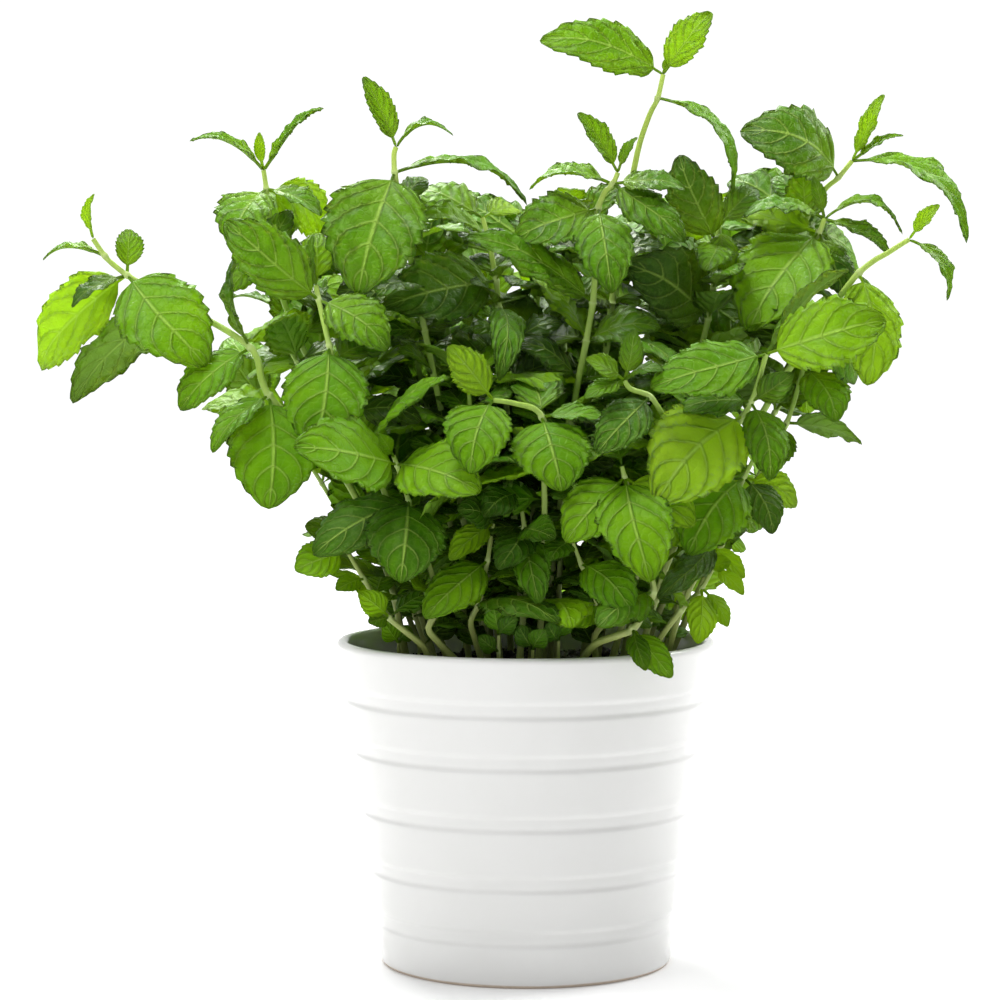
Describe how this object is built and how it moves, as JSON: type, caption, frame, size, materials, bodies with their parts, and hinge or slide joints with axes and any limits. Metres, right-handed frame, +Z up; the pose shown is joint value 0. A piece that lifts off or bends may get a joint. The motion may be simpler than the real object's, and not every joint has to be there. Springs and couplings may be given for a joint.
{
  "type": "potted mint plant",
  "caption": "Bushy leafy herb growing in soil in a round tapered glazed pot with ring grooves.",
  "frame": {"origin": "centre of the pot's flat underside, on the surface it stands on", "axes": "+Z up, -Y towards the side seen from the front, +X to the right of that view"},
  "size_m": [0.347, 0.2139, 0.351],
  "materials": {
    "white_glaze": "gloss",
    "dark_soil": "matte",
    "leafy_shoot": "satin",
    "young_shoot": "satin"
  },
  "bodies": {
    "root": {"pot": "white_glaze", "soil": "dark_soil", "arm_left": "leafy_shoot", "arm_right": "leafy_shoot", "crown_left": "leafy_shoot", "crown_mid": "leafy_shoot", "dark_right": "leafy_shoot", "edge_left": "leafy_shoot", "fill_01": "leafy_shoot", "fill_02": "leafy_shoot", "fill_03": "leafy_shoot", "fill_04": "leafy_shoot", "fill_05": "leafy_shoot", "fill_06": "leafy_shoot", "fill_07": "leafy_shoot", "fill_08": "leafy_shoot", "fill_09": "leafy_shoot", "fill_10": "leafy_shoot", "fill_11": "leafy_shoot", "fill_12": "leafy_shoot", "fill_13": "leafy_shoot", "fill_15": "leafy_shoot", "fill_17": "leafy_shoot", "fill_18": "leafy_shoot", "fill_19": "leafy_shoot", "fill_20": "leafy_shoot", "fill_21": "leafy_shoot", "fill_22": "leafy_shoot", "fill_24": "leafy_shoot", "front_mid": "leafy_shoot", "front_right": "leafy_shoot", "heart": "leafy_shoot", "low_left": "leafy_shoot", "low_mid": "leafy_shoot", "low_mid_left": "leafy_shoot", "low_mid_right": "leafy_shoot", "low_right": "leafy_shoot", "mid_left": "leafy_shoot", "mid_right": "leafy_shoot", "outer_right": "leafy_shoot", "rim_right": "leafy_shoot", "side_right": "leafy_shoot", "small_head": "leafy_shoot", "sprout_a": "young_shoot", "sprout_b": "young_shoot", "sprout_c": "young_shoot", "sprout_d": "young_shoot", "tip_far_right": "leafy_shoot", "tip_left": "leafy_shoot", "tip_right": "leafy_shoot"}
  },
  "joints": []
}
